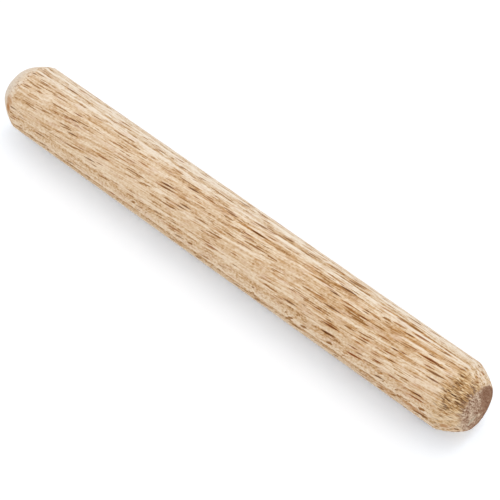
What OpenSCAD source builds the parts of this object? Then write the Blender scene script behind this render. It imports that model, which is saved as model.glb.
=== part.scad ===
// Plain round dowel pin for joining boards: a straight shank with a curved taper at each end.
// The pin's axis runs along X. The origin is on the axis, midway between the two saw cuts.
// The near end is at +X and the far end at -X.

/* [Shank] */
// Diameter of the shank
pin_d = 10; // [8:0.5:12]
// Length along the axis, from saw cut to saw cut
pin_len = 80; // [30:1:160]

/* [Near end] */
// Length of the taper along the axis
near_taper_len = 3.2; // [2:0.1:4]
// Diameter of the end face, as a share of the shank's
near_face_share = 0.64; // [0.5:0.01:0.75]
// Radius of the taper's curve
near_curve_r = 10; // [10:0.5:30]
// Slope of the saw cut from square, its lower edge standing out
near_cut_slope = 6.5; // [0:0.5:8]

/* [Far end] */
// Length of the taper along the axis
far_taper_len = 2.8; // [2:0.1:4]
// Diameter of the end face, as a share of the shank's
far_face_share = 0.66; // [0.5:0.01:0.75]
// Radius of the taper's curve
far_curve_r = 10; // [10:0.5:30]
// Slope of the saw cut from square, its edge towards -Y standing out
far_cut_slope = 6; // [0:0.5:8]

/* [Hidden] */
$fn = 120;

pin_r = pin_d / 2;
cutter_size = 2 * pin_d;
blank_len = pin_len + pin_d;
run_in = 0.1;  // how far before a shoulder the turning tool starts

near_shoulder = pin_len / 2 - near_taper_len;
far_shoulder = pin_len / 2 - far_taper_len;

// What a turning tool takes off outside one taper. X is the radius, and Y runs outwards along
// the axis from the shoulder. The tool's edge is an arc that meets the shank at the shoulder
// and the end face at its rim. It runs on both ways, so the shoulder is where it leaves the
// shank, and a sloping saw cut finds wood all the way across.
module turned_off(taper_len, face_share, curve_r) {
    drop = pin_r * (1 - face_share);
    chord = norm([drop, taper_len]);
    chord_middle = [pin_r - drop / 2, taper_len / 2];
    inward = [-taper_len, -drop] / chord;
    arc_centre = chord_middle + inward * sqrt(pow(curve_r, 2) - pow(chord / 2, 2));
    difference() {
        translate([0, -run_in]) square(cutter_size);
        translate(arc_centre) circle(r = curve_r);
    }
}

// The turned blank, round about X
module blank() {
    rotate([0, 90, 0]) rotate_extrude() difference() {
        translate([0, -blank_len / 2]) square([pin_r, blank_len]);
        translate([0, near_shoulder]) turned_off(near_taper_len, near_face_share, near_curve_r);
        mirror([0, 1]) translate([0, far_shoulder]) turned_off(far_taper_len, far_face_share, far_curve_r);
    }
}

// What a saw takes off beyond a flat face at the origin that looks along +X
module waste() {
    translate([0, -pin_d, -pin_d]) cube(cutter_size);
}

module dowel_pin() {
    color("tan") difference() {
        blank();
        translate([pin_len / 2, 0, 0]) rotate([0, -near_cut_slope, 0]) waste();
        translate([-pin_len / 2, 0, 0]) rotate([0, 0, 180 - far_cut_slope]) waste();
    }
}

dowel_pin();
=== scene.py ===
import itertools
import math

import bpy
import numpy as np
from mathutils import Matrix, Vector


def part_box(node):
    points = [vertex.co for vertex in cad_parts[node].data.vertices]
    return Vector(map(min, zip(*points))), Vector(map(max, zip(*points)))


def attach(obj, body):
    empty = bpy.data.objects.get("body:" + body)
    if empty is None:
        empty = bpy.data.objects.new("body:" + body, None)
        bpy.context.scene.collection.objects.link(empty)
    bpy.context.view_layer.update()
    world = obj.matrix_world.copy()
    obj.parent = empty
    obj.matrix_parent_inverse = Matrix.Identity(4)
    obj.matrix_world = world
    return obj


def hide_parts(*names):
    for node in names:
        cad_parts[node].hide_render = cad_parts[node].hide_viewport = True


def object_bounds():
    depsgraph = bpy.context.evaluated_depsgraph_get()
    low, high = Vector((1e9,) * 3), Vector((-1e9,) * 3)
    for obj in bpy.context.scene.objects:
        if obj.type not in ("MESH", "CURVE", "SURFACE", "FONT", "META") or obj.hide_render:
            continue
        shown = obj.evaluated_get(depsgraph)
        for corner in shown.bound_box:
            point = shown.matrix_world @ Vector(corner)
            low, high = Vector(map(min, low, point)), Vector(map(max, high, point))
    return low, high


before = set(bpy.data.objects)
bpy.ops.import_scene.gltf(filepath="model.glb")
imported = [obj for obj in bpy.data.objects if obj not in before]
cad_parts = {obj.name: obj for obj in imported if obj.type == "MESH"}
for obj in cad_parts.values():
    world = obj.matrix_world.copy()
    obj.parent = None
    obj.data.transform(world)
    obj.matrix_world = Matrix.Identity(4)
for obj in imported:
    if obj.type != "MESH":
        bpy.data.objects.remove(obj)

cadLow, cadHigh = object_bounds()
print("frame loaded")

# How the tree grew through this stick. Directions are seen along the axis, in degrees from +Y towards
# +Z. Outwards is at right angles to the growth rings, and aside is along them.
grain = {
    "ringFacing": 127.0,   # where the growth rings face
    "ringTwist": -0.125,   # how far that turns in each mm of +X
    "fibreSlope": 4.0,     # how far the fibres lean from the axis
    "sideSlopes": ((2.3, 8.0), (3.4, 14.0)),  # from so many mm aside, how far they lean outwards
    "patchSlant": 1.2,     # mm along for each mm outwards
    "fray": 0.2,           # mm by which the ring lines are frayed
    "weave": (0.0, 0.4, 0.6),       # mm by which the fibres weave, along, outwards and aside
    "weaveCell": (20.0, 4.0, 4.0),  # and over how many mm
    "ringReach": 6.0,      # the rings are drawn so many mm to both sides of the axis
    # share of a ring's width, and how far its tone has gone there from the start to the end
    "ringShape": ((0.05, 0.0), (0.34, 0.35), (0.97, 1.0)),
    # one ring a line: where it begins, mm outwards from the axis, and its tone at the start and at
    # the end, from 0, pale, to 1, tan
    "rings": (
        (-5.60, 0.10, 0.80),
        (-4.35, 0.05, 0.90),
        (-3.05, 0.20, 0.80),
        (-1.60, 0.05, 0.75),
        (-0.15, 0.15, 0.55),
        (1.30, 0.00, 0.85),
        (2.95, 0.08, 0.90),
        (4.25, 0.45, 1.00),
        (5.60, 0.20, 0.80),
    ),
}

# The pin itself. Lengths are in mm, and the first four values are those of the solid.
pin = {
    "radius": cadHigh.z * 1000,
    "halfLength": 40.0,    # from the middle to each saw cut, along the axis
    "near": {"taper": 3.2, "faceShare": 0.64, "curve": 10.0, "cutSlope": 6.5, "longSide": -90.0},
    "far": {"taper": 2.8, "faceShare": 0.66, "curve": 10.0, "cutSlope": 6.0, "longSide": 180.0},
    "columns": 400,
    "crowding": 0.35,      # how much closer together the columns are where the taper is torn
    "faceCrowding": 0.5,   # and the rows at both ends of a face
    "taperCrowding": 0.35,  # and of a taper
    "faceRows": 38,
    "taperRows": 64,
    "shankRows": 100,
    "farTaperRows": 34,
    "farFaceRows": 10,
    "rimRound": 0.12,      # how far from a rim the surface starts to turn round it
    "sawnBlend": 0.05,     # how far from a rim the saw cut blends into the taper
    "rimWear": 0.045,      # how deep the rims are rubbed away
    "rimWorn": 1.6,        # how many times that is added where the near taper is torn
    "rubWidth": (0.22, 0.4),     # how wide the rims are rubbed, and how much wider there
    "chipDepth": 0.11,     # chips out of the near rim
    "chipReach": (0.1, 0.7),     # between how many mm from it they fade
    "streakDepth": 0.012,  # fine lengthwise grooves of the shank
    "ringDepth": 0.01,     # how far the soft early part of each ring is sunk
    "earlyShare": 0.7,     # and its share of the ring
    "tornFacing": 133.0,   # where the near taper is torn most, in degrees from +Y towards +Z
    "tornSpread": (40.0, 76.0),  # how far round it stays torn, and where that ends
    "tornLess": 0.85,      # how much less it is torn past there
    "tornStart": (-1.0, 0.4),    # between how many mm past the shoulder it starts
    "tornRagged": 1.5,     # how far that start wavers
    "tornFade": (2.5, 3.3),      # and between how many it fades to half
    "crushAndShadeFacing": 114.0,   # where the torn fibres are darkest: crushed end grain, partly painted shade
    "crushAndShadeSpread": (20.0, 52.0),
    "tearDepth": 0.10,     # torn fibres of the near taper
    "tearDeepest": 0.3,    # and the most they may be sunk
    "sawDepth": 0.05,      # pits and saw marks of the near face
    "polishedFrom": (0.85, 2.1),  # the near face is smoother beyond so many mm of +Y and of -Z
    "polishedBlend": 0.45,  # how far from its edge that sets in
    "bandReach": (-0.4, 2.8),    # between how many mm past the far shoulder its pale band sets in
    "bandLow": 0.8,        # how much narrower it is low on the -Y side,
    "bandTurn": (125.0, 160.0),  # and between which directions that sets in
    # one long tear a line: direction, mm past the shoulder, length, width, depth
    "tears": (
        (122.5, 1.20, 1.5, 0.20, 0.22),
        (107.0, 2.25, 0.7, 0.20, 0.16),
        (146.0, 0.75, 1.5, 0.16, 0.14),
        (134.5, 2.15, 0.6, 0.16, 0.14),
        (116.0, 0.60, 0.9, 0.14, 0.12),
        (83.0, 2.80, 0.5, 0.18, 0.16),
        (92.0, 0.45, 0.9, 0.14, 0.12),
    ),
    "smallTears": 90,
    "smallTearRanges": ((0, 360), (0.2, 3.3), (0.25, 0.8), (0.10, 0.17), (0.04, 0.12)),
    # one stain a line: direction, mm along the axis, length, width, strength
    "stains": (
        (150.0, -38.1, 1.9, 1.5, 0.6),
        (164.0, -38.0, 1.7, 1.6, 0.9),
        (187.0, 38.2, 1.3, 1.2, 0.8),
        (181.0, 33.6, 3.8, 0.8, 0.7),
        (186.0, 29.2, 3.0, 0.8, 0.6),
    ),
    "scar": ((-1.25, -0.95), (2.1, 0.55)),  # its middle and its size on the near face, in Y and Z
    # what makes each thing uneven, one noise or more: strength, cell in mm, and seed
    "noises": {
        "ringWaver": ((0.12, (7, 2, 1.1), 3),),
        "streaks": ((0.35, (6, 0.4, 0.4), 11), (0.15, (2.5, 0.2, 0.2), 12)),
        "tornEdge": ((0.5, (6, 0.45, 0.3), 21), (0.2, (2, 0.15, 0.15), 24)),
        "strokes": ((0.7, (1.1, 1.1, 0.16), 22), (0.8, (0.7, 0.8, 0.12), 23)),
        "pits": ((0.6, (9, 0.55, 0.3), 31), (0.4, (9, 0.3, 0.17), 32)),
        "sawMarks": ((0.45, (9, 2.6, 0.36), 33),),
        "polishedEdge": ((0.35, (9, 0.6, 0.6), 34), (0.25, (9, 0.25, 0.25), 35)),
        "rub": ((0.5, (1, 0.6, 0.6), 41),),
        "sawnEdge": ((0.5, (3, 0.6, 0.6), 42), (0.5, (3, 0.24, 0.24), 43)),
        "chips": ((1.0, (0.5, 0.42, 0.42), 44),),
        "stains": ((0.5, (1.4, 0.4, 0.4), 51),),
        "scar": ((0.6, (9, 0.4, 0.2), 52),),
    },
    "seed": 7,
}


def smooth(low, high, value):
    # Runs from 0 at low to 1 at high, level at both ends: share squared times (3 minus twice the share).
    share = np.clip((value - low) / (high - low), 0, 1)
    return share * share * (3 - 2 * share)


def latticeNoise(points, cell, seed):
    # Random values at the corners of boxes of size cell, blended smoothly inside each box, from -1 to 1.
    table = np.random.default_rng(seed).uniform(-1, 1, (32, 32, 32))
    place = points / np.asarray(cell, float)
    base = np.floor(place).astype(int)
    share = place - base
    share = share * share * (3 - 2 * share)
    total = np.zeros(points.shape[:-1])
    for corner in itertools.product((0, 1), repeat=3):
        weight = np.prod(np.where(np.array(corner) == 1, share, 1 - share), axis=-1)
        index = (base + np.array(corner)) % 32
        total += weight * table[index[..., 0], index[..., 1], index[..., 2]]
    return total


def uneven(points, name):
    # The noises of that name added up, each times its strength.
    noises = pin["noises"][name]
    return sum(strength * latticeNoise(points, cell, seed) for strength, cell, seed in noises)


def woodPlace(points):
    # Each point as mm along the axis, outwards across the rings, and aside along them.
    # The ring direction turns evenly along X, and the lean of the fibres is taken out of the last value.
    facing = np.radians(grain["ringFacing"] + grain["ringTwist"] * points[..., 0])
    lean = math.tan(math.radians(grain["fibreSlope"]))
    outwards = points[..., 1] * np.cos(facing) + points[..., 2] * np.sin(facing)
    aside = points[..., 2] * np.cos(facing) - points[..., 1] * np.sin(facing) + points[..., 0] * lean
    return np.stack([points[..., 0], outwards, aside], axis=-1)


def taperArc(end):
    # Centre of the taper's arc, as mm past the shoulder and mm from the axis: from the middle of the
    # chord between shoulder and face edge, inwards at right angles, by the root of radius squared less
    # half chord squared.
    drop = pin["radius"] * (1 - end["faceShare"])
    chord = math.hypot(drop, end["taper"])
    inwards = math.sqrt(end["curve"] ** 2 - chord ** 2 / 4)
    past = end["taper"] / 2 - drop / chord * inwards
    out = pin["radius"] - drop / 2 - end["taper"] / chord * inwards
    return past, out


def taperRadius(end, past):
    # Distance from the axis on the arc: its centre's, plus the root of radius squared less distance past
    # the centre squared.
    centrePast, centreOut = taperArc(end)
    return centreOut + np.sqrt(end["curve"] ** 2 - (past - centrePast) ** 2)


def rimPast(end, turn):
    # How far past the shoulder the cut meets the taper in each direction: the taper's length plus the
    # cut's slope times the radius there, put in again until it settles.
    slope = math.tan(math.radians(end["cutSlope"]))
    side = np.cos(turn - math.radians(end["longSide"]))
    past = np.full_like(turn, end["taper"])
    for _ in range(12):
        past = end["taper"] + slope * side * taperRadius(end, past)
    return past


def evenShares(count, tight):
    # Shares from 0 to 1, closer together at both ends: a straight run mixed with half a cosine wave.
    step = np.linspace(0, 1, count)
    return (1 - tight) * step + tight * (1 - np.cos(math.pi * step)) / 2


def endGrid(end, turn, faceRows, taperRows):
    # One end from the middle of its face to the shoulder, as if it faced +X. Gives mm along X, mm from
    # the axis, the outward normal in both, how far each point is inside the rim, and how far it is past
    # the shoulder. The face is a flat ellipse: mm along X grow by the cut's slope times the radius.
    slope = math.tan(math.radians(end["cutSlope"]))
    side = np.cos(turn - math.radians(end["longSide"]))
    rim = rimPast(end, turn)
    rimRadius = taperRadius(end, rim)
    share = evenShares(faceRows + 2, pin["faceCrowding"])[1:-1, None]
    faceRadius = share * rimRadius
    faceAlong = pin["halfLength"] + slope * side * faceRadius
    taperShare = 1 - evenShares(taperRows + 1, pin["taperCrowding"])[:-1, None]
    past = taperShare * rim
    taperOut = taperRadius(end, past)
    taperAlong = pin["halfLength"] - end["taper"] + past
    centrePast, centreOut = taperArc(end)
    tipFace = math.cos(math.radians(end["cutSlope"]))
    downTaper = (rim - past) * 1.2  # the way along the surface is about so much longer than along X
    fromRim = np.concatenate([rimRadius - faceRadius, -downTaper])
    onFace = smooth(-pin["rimRound"], pin["rimRound"], fromRim)
    flatTip = np.full_like(turn, tipFace) + 0 * onFace
    flatOut = -tipFace * slope * side + 0 * onFace
    arcPast = np.concatenate([rim + 0 * faceRadius, past])
    tip = flatTip * onFace + (arcPast - centrePast) / end["curve"] * (1 - onFace)
    out = flatOut * onFace + (taperRadius(end, arcPast) - centreOut) / end["curve"] * (1 - onFace)
    size = np.hypot(tip, out)
    return {
        "along": np.concatenate([faceAlong, taperAlong]),
        "radius": np.concatenate([faceRadius, taperOut]),
        "tip": tip / size,
        "out": out / size,
        "fromRim": fromRim,
        "past": arcPast,
    }


def pinGrid():
    # The whole skin as rows of rings, from the middle of the near face to the middle of the far one. The
    # columns crowd where the taper is torn: even steps less crowding times the sine of the angle from
    # there.
    step = np.linspace(0, 2 * math.pi, pin["columns"], endpoint=False)
    turn = step - pin["crowding"] * np.sin(step - math.radians(pin["tornFacing"]))
    near = endGrid(pin["near"], turn, pin["faceRows"], pin["taperRows"])
    far = endGrid(pin["far"], turn, pin["farFaceRows"], pin["farTaperRows"])
    shoulders = (pin["halfLength"] - pin["near"]["taper"], pin["far"]["taper"] - pin["halfLength"])
    reach = np.linspace(shoulders[0], shoulders[1], pin["shankRows"])[:, None] + 0 * turn
    shank = {
        "along": reach,
        "radius": 0 * reach + pin["radius"],
        "tip": 0 * reach,
        "out": 0 * reach + 1,
        "fromRim": 0 * reach - 9,  # far outside any rim
        "past": 0 * reach,
    }
    grid = {}
    for name in shank:
        sign = -1 if name in ("along", "tip") else 1
        grid[name] = np.concatenate([near[name], shank[name], sign * far[name][::-1]])
    grid["turn"] = turn + 0 * grid["along"]
    return grid


def turnFrom(grid, facing):
    # How far round each point is from a direction given in degrees, in radians, from minus to plus half
    # a turn.
    return (grid["turn"] - math.radians(facing) + math.pi) % (2 * math.pi) - math.pi


def addTears(grid, depth):
    # Each tear is a spindle sunk along the taper: its depth times (1 less its share along to the power
    # 1.6, less its share aside to the power 1.3), where that is above 0.
    rng = np.random.default_rng(pin["seed"])
    many = pin["smallTears"]
    random = np.stack([rng.uniform(low, high, many) for low, high in pin["smallTearRanges"]], axis=-1)
    for facing, past, length, width, sunk in [*pin["tears"], *random]:
        aside = turnFrom(grid, facing) * grid["radius"] / width * 2
        ahead = (grid["past"] - past) / length * 2
        shape = np.clip(1 - np.abs(ahead) ** 1.6 - np.abs(aside) ** 1.3, 0, 1)
        depth = np.maximum(depth, shape * sunk)
    return depth


def pinRelief(grid, points):
    # How far the worn and cut surface lies under the plain form, in mm, with the masks that the material
    # reads. It is the depth of the grooves and of the sunk early wood, then torn hollows on the near
    # taper, pits on a sawn face, and at a rim the wear times the square of the nearness to it.
    wood = woodPlace(points)
    past = grid["past"]
    fromRim = grid["fromRim"]
    onNear = (grid["along"] > 0) * 1.0
    sawn = smooth(-pin["sawnBlend"], pin["sawnBlend"], fromRim)
    starts = np.array([ring[0] for ring in grain["rings"]])
    outwards = wood[..., 1] + uneven(wood, "ringWaver")
    ring = np.searchsorted(starts, outwards).clip(1, len(starts) - 1)
    ringShare = (outwards - starts[ring - 1]) / (starts[ring] - starts[ring - 1])
    early = 1 - smooth(0.0, pin["earlyShare"], ringShare.clip(0, 1))
    relief = pin["streakDepth"] * (0.5 + uneven(wood, "streaks")) + pin["ringDepth"] * early

    # Torn fibres: strokes along the grain, sunk most where their noise is above 0.
    apart = np.degrees(np.abs(turnFrom(grid, pin["tornFacing"])))
    rough = 1 - pin["tornLess"] * smooth(*pin["tornSpread"], apart)
    # Darker round one side: partly crushed end grain, partly painted shade where that side is lit less.
    apart = np.degrees(np.abs(turnFrom(grid, pin["crushAndShadeFacing"])))
    crushAndShade = 1 - smooth(*pin["crushAndShadeSpread"], apart)
    pastShoulder = grid["along"] - pin["halfLength"] + pin["near"]["taper"]
    pastShoulder = pastShoulder + pin["tornRagged"] * uneven(wood, "tornEdge")
    torn = onNear * smooth(*pin["tornStart"], pastShoulder) * rough
    torn = torn * (1 - 0.5 * smooth(*pin["tornFade"], past))
    strokes = uneven(wood, "strokes")
    sunk = 0.25 * (strokes + 0.6) + smooth(0.0, 0.6, strokes)
    hollow = torn * (0.4 + 0.6 * crushAndShade) * smooth(0, 0.4, past) * sunk * pin["tearDepth"] * (1 - sawn)
    tears = addTears(grid, 0 * relief) * onNear * (1 - sawn)
    hollow = np.clip(hollow, 0, pin["tearDeepest"]) + tears * (0.3 + 0.7 * rough)
    relief = relief * (1 - 0.6 * torn) + hollow

    # Sawn faces: pits and saw marks, hardly any where the near face is cut smoother.
    pits = uneven(wood, "pits") + uneven(points, "sawMarks")
    alongY, alongZ = pin["polishedFrom"]
    intoPolished = np.maximum(points[..., 1] - alongY, -points[..., 2] - alongZ)
    intoPolished = intoPolished + uneven(points, "polishedEdge")
    polished = smooth(-pin["polishedBlend"], pin["polishedBlend"], intoPolished) * onNear
    pitted = smooth(0.05, 0.7, pits) * (1 - 0.8 * polished)
    relief = relief * (1 - sawn) + pin["sawDepth"] * (0.3 + pitted) * sawn

    # Rims: rubbed round, more widely where the near one is worn, and chipped there.
    worn = onNear * rough
    width, wider = pin["rubWidth"]
    rub = np.clip(1 - np.abs(fromRim) / (width + wider * worn), 0, 1) ** 2
    relief += pin["rimWear"] * (1 + pin["rimWorn"] * worn) * rub * (0.8 + uneven(wood, "rub"))
    close, away = pin["chipReach"]
    chips = smooth(0.0, 0.6, uneven(points, "chips")) * smooth(-away, -close, -np.abs(fromRim))
    relief += pin["chipDepth"] * worn * chips

    # A pale scar lies across the lower part of the near face.
    middle, size = pin["scar"]
    scar = sum(((points[..., axis + 1] - middle[axis]) / size[axis] * 2) ** 2 for axis in (0, 1))
    scar = scar + uneven(points, "scar")

    stain = 0 * relief
    edge = uneven(wood, "stains")
    for facing, along, length, width, strength in pin["stains"]:
        aside = turnFrom(grid, facing) * grid["radius"] / width * 2
        ahead = (grid["along"] - along) / length * 2
        stain = np.maximum(stain, strength * (1 - smooth(0.0, 1.2, aside ** 2 + ahead ** 2 + edge)))
    # The colour of the saw cut ends along a ragged line where the rim is worn.
    sawnColour = smooth(-0.08 - 1.0 * worn, 0.08 + 0.5 * worn, fromRim + worn * uneven(wood, "sawnEdge"))
    lowSide = pin["bandLow"] * smooth(*pin["bandTurn"], np.degrees(grid["turn"]) % 360)
    masks = {
        "sawn": sawnColour,
        "torn": torn * (1 - sawn),
        # crushed end grain and painted shade, darkest round one side
        "crushAndShade": crushAndShade * onNear,
        # how dark the hollows are painted: open pores and painted shade
        "hollow": np.clip((hollow - 0.04) / 0.12, 0, 1) * (1 - sawn) + 0.6 * pitted * sawn,
        "polished": polished * sawn,
        "scar": np.clip(1.3 - scar, 0, 1) * sawn * onNear,
        "stain": stain,
        "farEnd": (1 - onNear) * np.maximum(smooth(*pin["bandReach"], past - lowSide), sawn),
    }
    return relief, masks


def meshFromGrid(name, points, poles, masks):
    # Quads between neighbouring rows and columns, closed round the seam, with a fan to a pole at each
    # end.
    rows, columns = points.shape[:2]
    ring = np.arange(columns)
    after = (ring + 1) % columns
    start = (np.arange(rows - 1) * columns)[:, None]
    below = start + columns
    quads = np.stack([start + ring, below + ring, below + after, start + after], axis=-1)
    nearPole = rows * columns
    last = (rows - 1) * columns
    nearFan = np.stack([0 * ring + nearPole, ring, after], axis=-1)
    farFan = np.stack([last + after, last + ring, 0 * ring + nearPole + 1], axis=-1)
    corners = np.concatenate([quads.reshape(-1), nearFan.reshape(-1), farFan.reshape(-1)])
    sizes = np.concatenate([np.full(quads.shape[0] * columns, 4), np.full(2 * columns, 3)])
    starts = np.concatenate([[0], np.cumsum(sizes)[:-1]])
    places = np.concatenate([points.reshape(-1, 3), np.asarray(poles)])
    mesh = bpy.data.meshes.new(name)
    mesh.vertices.add(len(places))
    mesh.vertices.foreach_set("co", (places / 1000).astype(np.float32).reshape(-1))
    mesh.loops.add(len(corners))
    mesh.loops.foreach_set("vertex_index", corners.astype(np.int32))
    mesh.polygons.add(len(sizes))
    mesh.polygons.foreach_set("loop_start", starts.astype(np.int32))
    mesh.polygons.foreach_set("use_smooth", np.ones(len(sizes), bool))
    mesh.update(calc_edges=True)
    mesh.validate()
    for label, values in masks.items():
        flat = np.concatenate([values.reshape(-1), [values[0].mean(), values[-1].mean()]])
        attribute = mesh.attributes.new(label, "FLOAT", "POINT")
        attribute.data.foreach_set("value", flat.astype(np.float32))
    return mesh


def makePin():
    # Each point of the grid is put round the axis and pushed in along its normal by the relief.
    grid = pinGrid()
    points = np.stack([
        grid["along"],
        grid["radius"] * np.cos(grid["turn"]),
        grid["radius"] * np.sin(grid["turn"]),
    ], axis=-1)
    normals = np.stack([
        grid["tip"],
        grid["out"] * np.cos(grid["turn"]),
        grid["out"] * np.sin(grid["turn"]),
    ], axis=-1)
    relief, masks = pinRelief(grid, points)
    points = points - normals * relief[..., None]
    poles = [points[0].mean(0) * (1, 0, 0), points[-1].mean(0) * (1, 0, 0)]
    mesh = meshFromGrid("beech_pin", points, poles, masks)
    piece = bpy.data.objects.new("beech_pin", mesh)
    bpy.context.scene.collection.objects.link(piece)
    print("pin built:", len(mesh.vertices), "points")
    return piece


def linear(red, green, blue):
    # A colour as it looks, from 0 to 255, as the shader counts it.
    values = np.array([red, green, blue]) / 255
    values = np.where(values <= 0.04045, values / 12.92, ((values + 0.055) / 1.055) ** 2.4)
    return (*values.tolist(), 1.0)


def addNode(tree, kind, inputs=(), **settings):
    # One node with its settings. Inputs are (socket, value or another node's output) pairs.
    node = tree.nodes.new(kind)
    for name, value in settings.items():
        setattr(node, name, value)
    for socket, value in inputs:
        if isinstance(value, bpy.types.NodeSocket):
            tree.links.new(value, node.inputs[socket])
        else:
            node.inputs[socket].default_value = value
    return node


def calc(tree, operation, first, second=0.0, clamp=False):
    inputs = ((0, first), (1, second))
    return addNode(tree, "ShaderNodeMath", inputs, operation=operation, use_clamp=clamp).outputs[0]


def times(tree, *values, clamp=False):
    # All the values multiplied together.
    product = values[0]
    for value in values[1:-1]:
        product = calc(tree, "MULTIPLY", product, value)
    return calc(tree, "MULTIPLY", product, values[-1], clamp)


def plus(tree, first, second):
    return calc(tree, "ADD", first, second)


def minus(tree, first, second):
    return calc(tree, "SUBTRACT", first, second)


def weighted(tree, base, terms):
    # The base plus each term's weight times how far its value is from its middle.
    total = base
    for value, middle, weight in terms:
        total = plus(tree, times(tree, minus(tree, value, middle), weight), total)
    return total


def moved(tree, operation, place, by):
    inputs = ((0, place), (1, by))
    return addNode(tree, "ShaderNodeVectorMath", inputs, operation=operation).outputs[0]


def split(tree, place):
    return addNode(tree, "ShaderNodeSeparateXYZ", ((0, place),)).outputs


def joined(tree, along, outwards, aside):
    return addNode(tree, "ShaderNodeCombineXYZ", ((0, along), (1, outwards), (2, aside))).outputs[0]


def scaled(tree, place, cell, shift=0.0):
    # The place counted in cells, moved by so many of them along.
    inputs = ((0, place), (1, (shift, 0.0, 0.0)), (3, tuple(1 / side for side in cell)))
    return addNode(tree, "ShaderNodeMapping", inputs).outputs[0]


def remap(tree, value, low, high, fromLow=0.0, toHigh=1.0):
    # Runs smoothly from fromLow, where value is low, to toHigh, where value is high.
    ends = (("From Min", low), ("From Max", high), ("To Min", fromLow), ("To Max", toHigh))
    inputs = (("Value", value), *ends)
    return addNode(tree, "ShaderNodeMapRange", inputs, interpolation_type="SMOOTHSTEP").outputs[0]


def blend(tree, factor, first, second, mode="MIX"):
    inputs = ((0, factor), (6, first), (7, second))
    return addNode(tree, "ShaderNodeMix", inputs, data_type="RGBA", blend_type=mode).outputs[2]


def shades(tree, value, colours):
    # A ramp of evenly spaced colours, for a value from 0 to 1.
    ramp = addNode(tree, "ShaderNodeValToRGB", ((0, value),))
    stops = ramp.color_ramp.elements
    stops[0].color = linear(*colours[0])
    stops[1].color = linear(*colours[-1])
    for order, colour in enumerate(colours[1:-1], 1):
        stops.new(order / (len(colours) - 1)).color = linear(*colour)
    return ramp.outputs[0]


def mask(tree, name):
    return addNode(tree, "ShaderNodeAttribute", attribute_name=name).outputs["Fac"]


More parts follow.
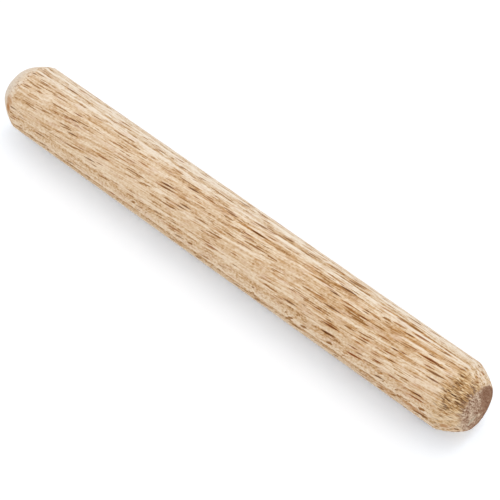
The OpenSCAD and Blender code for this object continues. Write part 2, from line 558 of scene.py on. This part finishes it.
# Beech: its colours, as they look, from 0 to 255, how strongly each mark shows, and how large it is.
# Cells are mm along the fibres, outwards and aside.
beech = {
    "tones": ((247, 228, 204), (235, 211, 181), (221, 189, 152), (200, 160, 116), (156, 110, 63)),
    "fleck": (84, 36, 0),
    "redFleck": (134, 60, 4),
    "halo": (202, 142, 70),
    "softFleck": (138, 78, 16),
    "pink": (222, 188, 170),
    "sheenGrey": (0.97, 1.02, 1.09, 1.0),    # these two are multiplied in
    "yellower": (1.0, 0.975, 0.94, 1.0),
    "endTones": ((232, 210, 186), (188, 158, 134), (148, 110, 86), (100, 68, 52)),
    "scar": (214, 204, 180),
    "tornTones": ((240, 213, 172), (214, 176, 128), (180, 136, 84), (138, 92, 40), (92, 50, 8)),
    # the dark of open pores, and painted shade in hollows
    "hollow": (98, 58, 18),
    "stain": (184, 126, 74),
    "farPale": (226, 214, 200),
    "tone": 0.345,         # how dark the wood is, from 0 to 1, before its marks
    "tornTone": 0.20,      # the same for torn fibres
    "sawnTone": 0.34,      # and for sawn ends
    "ringShow": 0.85,
    "paintedSideShadeShow": 0.13,
    "streakShow": 0.85,
    "dashShow": 0.5,
    "fineShow": 0.55,
    "grainShow": 0.75,
    "thinShow": 0.32,
    "wideShow": 0.28,
    "poreShow": 0.6,
    "bandShow": 0.08,
    "patchShow": 1.0,
    "smallShow": 0.45,
    "haloShow": 0.55,
    "pinkShow": 0.3,
    "grainCalmer": -1.2,   # below 0: the mottle is stronger where the streaks are fainter
    "middleHalo": 0.7,     # the halo of a middling fleck against that of a strong one
    "farShow": 0.8,
    "farRings": 0.25,      # how much of the ring lines is left on the far taper
    "crushAndShadeShow": 0.22,
    "endShow": 0.6,
    "strokeShow": 2.0,
    "gapShow": 0.9,
    "tearShow": 0.35,
    "tornShow": (0.5, 0.85),     # torn colours away from the crushed, painted-shade side, and on it
    "hollowPoreAndShadeShow": (0.35, 0.7),   # dark in hollows, open pores and painted shade, on the taper, and on a sawn end
    "rayLineShow": 1.5,
    "openingShow": 1.6,
    "polishedShow": 0.31,
    "polishedMottle": 0.4,
    "scarShow": 0.6,
    "strongRange": (0.75, 1.0),  # how strongly a fleck of each kind shows
    "middleRange": (0.22, 0.88),
    "thinFibre": (2.1, 0.15, 0.15),
    "wideFibre": (7.0, 0.26, 0.26),
    "fibreEnds": (0.6, 1.0, 0.10),
    # flecks: their cell, the share of cells that have one, and how many cells the pattern is moved
    "strong": ((5.0, 0.95, 0.42), 0.75, 0.0),
    "middle": ((3.4, 0.80, 0.29), 0.7, 31.0),
    "small": ((2.3, 0.42, 0.17), 0.7, 17.0),
    "patches": ((1.5, 1.3, 0.80), 0.8, 5.0),
    "fleckReach": 0.36,    # the largest fleck, in cells
    "haloReach": 1.7,      # a fleck's halo, in flecks
    "fleckEdge": 0.03,     # how much of a cell it takes to fade, for a fleck and for its halo
    "haloEdge": 0.25,
    "fleckGrowth": (0.82, 1.04),  # their size at the far end and at the near one
    # noises: cell, octaves, and the strength of each next octave
    "noises": {
        "fray": ((12.0, 0.8, 0.5), 2.0, 0.6),
        "streaks": ((34.0, 0.34, 0.34), 1.0, 0.5),
        "dashes": ((5.0, 0.2, 0.2), 1.0, 0.5),
        "fine": ((0.6, 0.14, 0.14), 1.0, 0.5),
        "grainy": ((0.34, 0.27, 0.27), 1.0, 0.5),
        "warm": ((2.4, 0.45, 0.45), 2.0, 0.5),
        "strokes": ((0.6, 0.8, 0.13), 1.0, 0.5),
        "rayLines": ((9.0, 1.6, 0.24), 2.0, 0.6),
        "openings": ((3.0, 0.24, 0.18), 1.0, 0.5),
    },
    # between how many mm aside each change across the stick happens
    "sides": {
        "edgeFlecks": (-4.7, -2.4),
        "sheenGrey": (-4.6, -2.4),
        "paleMiddle": (-1.2, 0.2),
        "yellower": (-1.0, 1.5),
        "quiet": (0.3, 2.6),
        "calmer": (1.6, 3.5),
        "patches": (2.3, 3.6),
        "paintedShadeEdge": (2.8, 4.7),
        "yellowerEnd": (3.6, 4.4),
    },
    # between how many mm along each change along the stick happens, and from what to what it goes
    "lengths": {
        "patches": (-10.0, 30.0, 1.0, 3.2),
        "quiet": (8.0, 24.0, 0.25, 0.0),
    },
    "pinkFrom": (0.52, 0.75),    # between which values of its noise the wood turns pink
    # between which values of the streaks' noise flecks grow, and from what to what
    "streakGrowth": (0.32, 0.52, 0.75, 1.0),
    "roughness": 0.72,
    "bump": 0.03,          # mm
}


def noise(tree, place, name):
    # Soft noise from 0 to 1 whose lumps are about as large as its cell.
    cell, detail, rough = beech["noises"][name]
    vector = scaled(tree, place, cell)
    inputs = (("Vector", vector), ("Scale", 1.0), ("Detail", detail), ("Roughness", rough))
    return addNode(tree, "ShaderNodeTexNoise", inputs).outputs[0]


def across(tree, sideways, name, fromLow=0.0, toHigh=1.0):
    return remap(tree, sideways, *beech["sides"][name], fromLow, toHigh)


def flecks(tree, place, kind, growth):
    # Rays cut across: thin spindles along the grain, one in some cells of a random pattern, each with a
    # size of its own. Gives the spindle, a soft halo round it, and two more random numbers of its own.
    # The spindle is 1 where its reach less the distance from the cell's point is over a small step.
    cell, keep, shift = beech[kind]
    inputs = (
        ("Vector", scaled(tree, place, cell, shift)),
        ("Scale", 1.0),
        ("Exponent", 1.2),
        ("Randomness", 1.0),
    )
    cells = addNode(
        tree, "ShaderNodeTexVoronoi", inputs, voronoi_dimensions="3D", feature="F1", distance="MINKOWSKI"
    )
    own = addNode(tree, "ShaderNodeSeparateColor", ((0, cells.outputs["Color"]),)).outputs
    reach = times(tree, remap(tree, own[0], 1 - keep, 1 - keep / 2, 0.0, beech["fleckReach"]), growth)
    distance = cells.outputs["Distance"]
    inside = calc(tree, "DIVIDE", minus(tree, reach, distance), beech["fleckEdge"], clamp=True)
    wide = times(tree, reach, beech["haloReach"])
    halo = calc(tree, "DIVIDE", minus(tree, wide, distance), beech["haloEdge"], clamp=True)
    return inside, halo, own[1], own[2]


def fibres(tree, place, cell):
    # Long cells, each with its own tone from 0 to 1, and a mask of the darkest of them.
    inputs = (("Vector", scaled(tree, place, cell)), ("Scale", 1.0), ("Randomness", 1.0))
    cells = addNode(tree, "ShaderNodeTexVoronoi", inputs, voronoi_dimensions="3D", feature="F1")
    own = addNode(tree, "ShaderNodeSeparateColor", ((0, cells.outputs["Color"]),)).outputs
    return own[0], remap(tree, own[1], 0.8, 1.0)


def woodSpace(tree):
    # The same mm along, outwards and aside as in woodPlace, with a weave of the fibres added. Gives mm
    # along, mm aside without lean and weave, and the place in the wood.
    objectPlace = addNode(tree, "ShaderNodeTexCoord").outputs["Object"]
    turned = addNode(tree, "ShaderNodeMapping", (
        (0, objectPlace),
        (2, (-math.radians(grain["ringFacing"]), 0.0, 0.0)),
        (3, (1000.0, 1000.0, 1000.0)),
    )).outputs[0]
    twist = times(tree, split(tree, turned)[0], -math.radians(grain["ringTwist"]))
    twisted = addNode(
        tree, "ShaderNodeVectorRotate", (("Vector", turned), ("Angle", twist)), rotation_type="X_AXIS"
    ).outputs[0]
    parts = split(tree, twisted)
    lean = times(tree, parts[0], math.tan(math.radians(grain["fibreSlope"])))
    straight = joined(tree, parts[0], parts[1], plus(tree, parts[2], lean))
    weave = addNode(tree, "ShaderNodeTexNoise", (
        ("Vector", scaled(tree, straight, grain["weaveCell"])),
        ("Scale", 1.0),
        ("Detail", 0.0),
        ("Roughness", 0.5),
    )).outputs["Color"]
    push = moved(tree, "SUBTRACT", weave, (0.5, 0.5, 0.5))
    wood = moved(tree, "ADD", straight, moved(tree, "MULTIPLY", push, grain["weave"]))
    return parts[0], parts[2], wood


def ringTones(tree, outwards, fray):
    # Each growth ring starts pale and darkens outwards to a tan line: a ramp of tones over mm outwards.
    reach = grain["ringReach"]
    place = calc(tree, "DIVIDE", plus(tree, plus(tree, outwards, fray), reach), 2 * reach)
    ramp = addNode(tree, "ShaderNodeValToRGB", ((0, place),))
    stops = ramp.color_ramp.elements
    stops[0].position = 0.0
    stops[0].color = (0.5, 0.5, 0.5, 1.0)
    stops[1].position = 1.0
    stops[1].color = (0.5, 0.5, 0.5, 1.0)
    for (start, pale, dark), following in zip(grain["rings"], grain["rings"][1:]):
        for share, gone in grain["ringShape"]:
            position = (start + share * (following[0] - start) + reach) / (2 * reach)
            stops.new(position).color = (*[pale + gone * (dark - pale)] * 3, 1.0)
    # The ring lines are hardly seen on the far taper.
    ringFade = remap(tree, mask(tree, "farEnd"), 0.0, 0.15, 1.0, beech["farRings"])
    return weighted(tree, 0.45, ((ramp.outputs[0], 0.45, ringFade),))


def leanedMarks(tree, parts, sideways, fray):
    # On one side the fibres lean outwards too, in steps: the marks there keep their place outwards less
    # X times the lean.
    sideLean = 0.0
    before = 0.0
    for start, slope in grain["sideSlopes"]:
        step = math.tan(math.radians(slope)) - before
        before += step
        beyond = calc(tree, "GREATER_THAN", plus(tree, sideways, fray), start)
        sideLean = plus(tree, times(tree, beyond, step), sideLean)
    leaned = minus(tree, parts[1], times(tree, parts[0], sideLean))
    return joined(tree, parts[0], leaned, parts[2])


def makeBeech():
    # All the wood's marks add up to one tone, which picks a colour. The flecks, the torn taper, the far
    # rim and the sawn ends are blended over it in turn.
    material = bpy.data.materials.new("beech")
    material.use_nodes = True
    tree = material.node_tree
    tree.nodes.clear()
    half = pin["halfLength"]
    along, sideways, wood = woodSpace(tree)
    parts = split(tree, wood)
    fray = times(tree, minus(tree, noise(tree, wood, "fray"), 0.5), grain["fray"])
    ringTone = ringTones(tree, parts[1], fray)
    marks = leanedMarks(tree, parts, sideways, fray)
    slant = minus(tree, parts[0], times(tree, parts[1], grain["patchSlant"]))
    slanted = joined(tree, slant, parts[1], parts[2])
    torn = mask(tree, "torn")

    # Rays: a few strong dark flecks, more of middling strength, and many small faint ones. They are
    # larger towards the near end and in the darker streaks.
    streaks = noise(tree, wood, "streaks")
    growth = remap(tree, along, -half, half, *beech["fleckGrowth"])
    growth = times(tree, growth, remap(tree, streaks, *beech["streakGrowth"]))
    strong, strongHalo, strongOwn, strongTint = flecks(tree, marks, "strong", growth)
    middle, middleHalo, middleOwn, _ = flecks(tree, marks, "middle", growth)
    small, _, smallOwn, _ = flecks(tree, marks, "small", growth)
    # On the side where the rays lie in the surface they show as short tan patches.
    patch, _, patchOwn, _ = flecks(tree, slanted, "patches", growth)
    patch = times(
        tree, patch, across(tree, sideways, "patches"),
        remap(tree, along, *beech["lengths"]["patches"]), remap(tree, torn, 0.0, 0.7, 1.0, 0.2),
    )
    # The flecks are fainter on that side, but for the near end, and in the early wood of a ring.
    quiet = remap(tree, along, *beech["lengths"]["quiet"])
    quiet = times(tree, across(tree, sideways, "quiet"), quiet)
    quiet = minus(tree, 1.0, quiet)
    clear = times(tree, plus(tree, times(tree, ringTone, 0.3), 0.75), quiet)
    strongShow = times(
        tree, strong, remap(tree, strongOwn, 0.0, 0.6, *beech["strongRange"]),
        across(tree, sideways, "edgeFlecks", 0.65, 0.95), clear, clamp=True,
    )
    middleOwn = remap(tree, middleOwn, 0.0, 1.0, *beech["middleRange"])
    middleShow = times(tree, middle, middleOwn, clear, clamp=True)
    haloShow = calc(tree, "MAXIMUM", strongHalo, times(tree, middleHalo, beech["middleHalo"]))

    # The middle of the stick is paler than its two sides, and darker towards the lower -Y edge next to
    # the
    # floor: painted shade. One of these sides has fainter streaks and a stronger mottle.
    paintedSideShade = minus(
        tree, across(tree, sideways, "paintedShadeEdge", 0.0, 1.7), across(tree, sideways, "paleMiddle")
    )
    calmer = across(tree, sideways, "calmer", 1.0, 0.35)
    grainShow = weighted(tree, beech["grainShow"], ((calmer, 1.0, beech["grainCalmer"]),))
    fine = noise(tree, marks, "fine")
    thin, pores = fibres(tree, marks, beech["thinFibre"])
    wide, bands = fibres(tree, marks, beech["wideFibre"])
    tone = weighted(tree, beech["tone"], (
        (ringTone, 0.45, beech["ringShow"]),
        (paintedSideShade, 0.0, beech["paintedSideShadeShow"]),
        (streaks, 0.5, times(tree, calmer, beech["streakShow"])),
        (noise(tree, marks, "dashes"), 0.5, times(tree, calmer, beech["dashShow"])),
        (fine, 0.5, beech["fineShow"]),
        (noise(tree, wood, "grainy"), 0.5, grainShow),
        (thin, 0.5, times(tree, calmer, beech["thinShow"])),
        (wide, 0.5, times(tree, calmer, beech["wideShow"])),
        (pores, 0.1, times(tree, calmer, beech["poreShow"])),
        (bands, 0.1, beech["bandShow"]),
        (times(tree, small, smallOwn), 0.08, beech["smallShow"]),
        (times(tree, patch, patchOwn), 0.0, beech["patchShow"]),
    ))
    body = shades(tree, tone, beech["tones"])
    pinkShow = remap(tree, noise(tree, wood, "warm"), *beech["pinkFrom"], 0.0, beech["pinkShow"])
    body = blend(tree, pinkShow, body, linear(*beech["pink"]))
    haloShow = times(tree, haloShow, quiet, beech["haloShow"])
    body = blend(tree, haloShow, body, linear(*beech["halo"]))
    body = blend(tree, middleShow, body, linear(*beech["softFleck"]))
    redder = remap(tree, strongTint, 0.6, 1.0)
    fleckColour = blend(tree, redder, linear(*beech["fleck"]), linear(*beech["redFleck"]))
    body = blend(tree, strongShow, body, fleckColour)
    # Towards the upper, lit edge of the stick a cool grey is multiplied in: painted sheen. Towards the
    # other edge the wood is a little yellower.
    sheenShare = across(tree, sideways, "sheenGrey", 1.0, 0.0)
    body = blend(tree, sheenShare, body, beech["sheenGrey"], "MULTIPLY")
    yellowed = minus(tree, across(tree, sideways, "yellower"), across(tree, sideways, "yellowerEnd"))
    body = blend(tree, yellowed, body, beech["yellower"], "MULTIPLY")

    # Torn taper: yellower, with crisp pale and dark fibre ends.
    ends, gaps = fibres(tree, wood, beech["fibreEnds"])
    strokes = noise(tree, wood, "strokes")
    hollow = mask(tree, "hollow")
    crushAndShade = mask(tree, "crushAndShade")
    # The torn tone is darker on the crushed side: partly the wood, partly painted shade.
    tornTone = weighted(tree, beech["tornTone"], (
        (crushAndShade, 0.0, beech["crushAndShadeShow"]),
        (ends, 0.5, beech["endShow"]),
        (strokes, 0.5, beech["strokeShow"]),
        (gaps, 0.1, beech["gapShow"]),
        # hollows darken the torn tone too: painted shade as well as open pores
        (hollow, 0.0, beech["tearShow"]),
    ))
    tornShow = times(tree, torn, remap(tree, crushAndShade, 0.0, 1.0, *beech["tornShow"]))
    body = blend(tree, tornShow, body, shades(tree, tornTone, beech["tornTones"]))

    # Far rim: the fibres' ends look paler and greyer.
    farShow = times(tree, mask(tree, "farEnd"), beech["farShow"])
    body = blend(tree, farShow, body, linear(*beech["farPale"]))
    body = blend(tree, mask(tree, "stain"), body, linear(*beech["stain"]))

    # Sawn end grain: mauve brown, streaked along the rays, and one side cut smoother and darker.
    sawn = mask(tree, "sawn")
    polished = mask(tree, "polished")
    mottled = weighted(tree, 0.0, (
        (noise(tree, wood, "rayLines"), 0.5, beech["rayLineShow"]),
        (noise(tree, wood, "openings"), 0.5, beech["openingShow"]),
    ))
    mottled = times(tree, mottled, remap(tree, polished, 0.0, 1.0, 1.0, beech["polishedMottle"]))
    endTone = weighted(tree, beech["sawnTone"], (
        (mottled, 0.0, 1.0),
        (polished, 0.0, beech["polishedShow"]),
    ))
    endBody = shades(tree, endTone, beech["endTones"])
    scarShow = times(tree, mask(tree, "scar"), beech["scarShow"])
    endBody = blend(tree, scarShow, endBody, linear(*beech["scar"]))
    body = blend(tree, sawn, body, endBody)
    # Torn and sawn hollows are dark: open pores and dirt, and painted shade in the recesses.
    hollowPoreAndShadeShow = times(tree, hollow, remap(tree, sawn, 0.0, 1.0, *beech["hollowPoreAndShadeShow"]))
    body = blend(tree, hollowPoreAndShadeShow, body, linear(*beech["hollow"]))

    gloss = weighted(tree, beech["roughness"], ((fine, 0.5, 0.2), (torn, 0.0, 0.12)))
    height = weighted(tree, 0.0, (
        (streaks, 0.5, 0.9),
        (fine, 0.5, -0.8),
        (strongShow, 0.0, -0.15),
        (middleShow, 0.0, -0.1),
        (times(tree, strokes, torn), 0.0, -2.0),
    ))
    bump = addNode(tree, "ShaderNodeBump", (
        ("Strength", 1.0), ("Distance", beech["bump"] / 1000), ("Height", height),
    )).outputs[0]
    shader = addNode(tree, "ShaderNodeBsdfPrincipled", (
        ("Base Color", body), ("Roughness", gloss), ("Normal", bump), ("Specular IOR Level", 0.05),
    )).outputs[0]
    addNode(tree, "ShaderNodeOutputMaterial", ((0, shader),))
    print("beech made:", len(tree.nodes), "nodes")
    return material


# Room: a pale floor with painted light close to the pin, soft light all round, and one large soft lamp
# above and behind the pin.
room = {
    "floorSide": 3.0,      # metres
    "floorShade": 0.82,
    "floorSeen": 1.07,     # the floor as the camera sees it, a little over white
    # painted light: the camera sees the floor near the pin lighter and cooler, which lifts the shadow
    # there
    "paintedLightTint": (1.28, 1.58, 1.94),
    "paintedLightFade": 1.5,      # how fast the tint fades away from the pin
    "skyLow": 0.77,        # the sky's strength at its edge
    "skyHigh": 0.94,       # and straight up
    "lampShade": 0.13,     # what the lamp adds on a level white surface
    "lampHeight": 70.0,    # degrees above the floor
    "lampFrom": 90.0,      # degrees from +X towards +Y
    "lampSpread": 40.0,    # degrees across
}


def seenRays(tree):
    # 1 for what the camera sees, straight on, in a shine or through glass, and 0 for the light itself.
    rays = addNode(tree, "ShaderNodeLightPath").outputs
    mirrored = calc(tree, "MAXIMUM", rays["Is Glossy Ray"], rays["Is Transmission Ray"])
    return calc(tree, "MAXIMUM", rays["Is Camera Ray"], mirrored)


def makePaper():
    # Close to the pin the camera sees the floor lighter and cooler: painted light, which lifts the
    # shadow there and cancels the warm light that the wood throws on it. The tint's share is radius
    # squared over (radius squared plus distance squared), to a power.
    material = bpy.data.materials.new("floorPaper")
    material.use_nodes = True
    tree = material.node_tree
    tree.nodes.clear()
    parts = split(tree, addNode(tree, "ShaderNodeTexCoord").outputs["Object"])
    pinEnd = (pin["halfLength"] - pin["radius"]) / 1000
    past = minus(tree, calc(tree, "ABSOLUTE", parts[0]), pinEnd)
    past = calc(tree, "MAXIMUM", past, 0.0)
    apart = plus(tree, times(tree, past, past), times(tree, parts[1], parts[1]))
    square = (pin["radius"] / 1000) ** 2
    near = calc(tree, "DIVIDE", square, plus(tree, apart, square))
    near = calc(tree, "POWER", near, room["paintedLightFade"])
    far = (*[room["floorSeen"]] * 3, 1.0)
    close = tuple(room["floorSeen"] * part for part in room["paintedLightTint"]) + (1.0,)
    shown = addNode(tree, "ShaderNodeBsdfDiffuse", ((0, blend(tree, near, far, close)),)).outputs[0]
    shade = (*[room["floorShade"]] * 3, 1.0)
    plain = addNode(tree, "ShaderNodeBsdfDiffuse", ((0, shade),)).outputs[0]
    inputs = ((0, seenRays(tree)), (1, plain), (2, shown))
    mixed = addNode(tree, "ShaderNodeMixShader", inputs).outputs[0]
    addNode(tree, "ShaderNodeOutputMaterial", ((0, mixed),))
    return material


def makeSky():
    # The sky is brighter overhead: its strength grows with the sine of the height above the horizon.
    world = bpy.data.worlds.new("room")
    world.use_nodes = True
    tree = world.node_tree
    tree.nodes.clear()
    white = (1.0, 1.0, 1.0, 1.0)
    direction = addNode(tree, "ShaderNodeTexCoord").outputs["Generated"]
    up = calc(tree, "MAXIMUM", split(tree, direction)[2], 0.0)
    glow = plus(tree, times(tree, up, room["skyHigh"] - room["skyLow"]), room["skyLow"])
    sky = addNode(tree, "ShaderNodeBackground", ((0, white), (1, glow))).outputs[0]
    seen = addNode(tree, "ShaderNodeBackground", ((0, white), (1, 1.0))).outputs[0]
    inputs = ((0, seenRays(tree)), (1, sky), (2, seen))
    mixed = addNode(tree, "ShaderNodeMixShader", inputs).outputs[0]
    addNode(tree, "ShaderNodeOutputWorld", ((0, mixed),))
    bpy.context.scene.world = world


def makeLamp():
    # Its strength gives the stated shade on a level white surface: shade times pi over the sine of its
    # height.
    height = math.radians(room["lampHeight"])
    turn = math.radians(room["lampFrom"])
    level = math.cos(height)
    towards = Vector((level * math.cos(turn), level * math.sin(turn), math.sin(height)))
    light = bpy.data.lights.new("lamp", "SUN")
    light.energy = room["lampShade"] * math.pi / math.sin(height)
    light.angle = math.radians(room["lampSpread"])
    lamp = bpy.data.objects.new("lamp", light)
    lamp.rotation_mode = "QUATERNION"
    lamp.rotation_quaternion = towards.to_track_quat("Z", "Y")
    bpy.context.scene.collection.objects.link(lamp)


def makeRoom(floorHeight):
    # The floor is one square, level with the lowest point of the pin.
    half = room["floorSide"] / 2
    signs = ((-1, -1), (1, -1), (1, 1), (-1, 1))
    corners = [(alongX * half, alongY * half, floorHeight) for alongX, alongY in signs]
    mesh = bpy.data.meshes.new("floor")
    mesh.from_pydata(corners, [], [(0, 1, 2, 3)])
    mesh.materials.append(makePaper())
    floor = bpy.data.objects.new("floor", mesh)
    bpy.context.scene.collection.objects.link(floor)
    makeSky()
    makeLamp()
    print("room made")


# Camera: turned from -Y towards +X and raised, in degrees, looking at a point given in mm from the
# middle of the pin.
view = {
    "turn": 41.545,
    "height": 52.69,
    "distance": 261.96,
    "lens": 144.1,
    "aim": (2.49, 0.0, -0.08),
}


def makeCamera(middle):
    # It stands back from the point it looks at, by the distance in the direction of turn and height.
    turn = math.radians(view["turn"])
    height = math.radians(view["height"])
    level = math.cos(height)
    back = Vector((math.sin(turn) * level, -math.cos(turn) * level, math.sin(height)))
    data = bpy.data.cameras.new("camera")
    data.lens = view["lens"]
    data.sensor_width = 36.0
    data.clip_start = 0.01
    data.clip_end = 20.0
    camera = bpy.data.objects.new("camera", data)
    camera.location = middle + Vector(view["aim"]) / 1000 + back * view["distance"] / 1000
    camera.rotation_mode = "QUATERNION"
    camera.rotation_quaternion = back.to_track_quat("Z", "Y")
    bpy.context.scene.collection.objects.link(camera)
    bpy.context.scene.camera = camera
    print("camera placed")


nodeLow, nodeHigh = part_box("dowel_pin")
beechPin = makePin()
beechPin.data.materials.append(makeBeech())
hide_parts("dowel_pin")
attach(beechPin, "root")
makeRoom(nodeLow.z)
makeCamera(Vector((0.0, (nodeLow.y + nodeHigh.y) / 2, (nodeLow.z + nodeHigh.z) / 2)))
bpy.context.scene.view_settings.view_transform = "Standard"
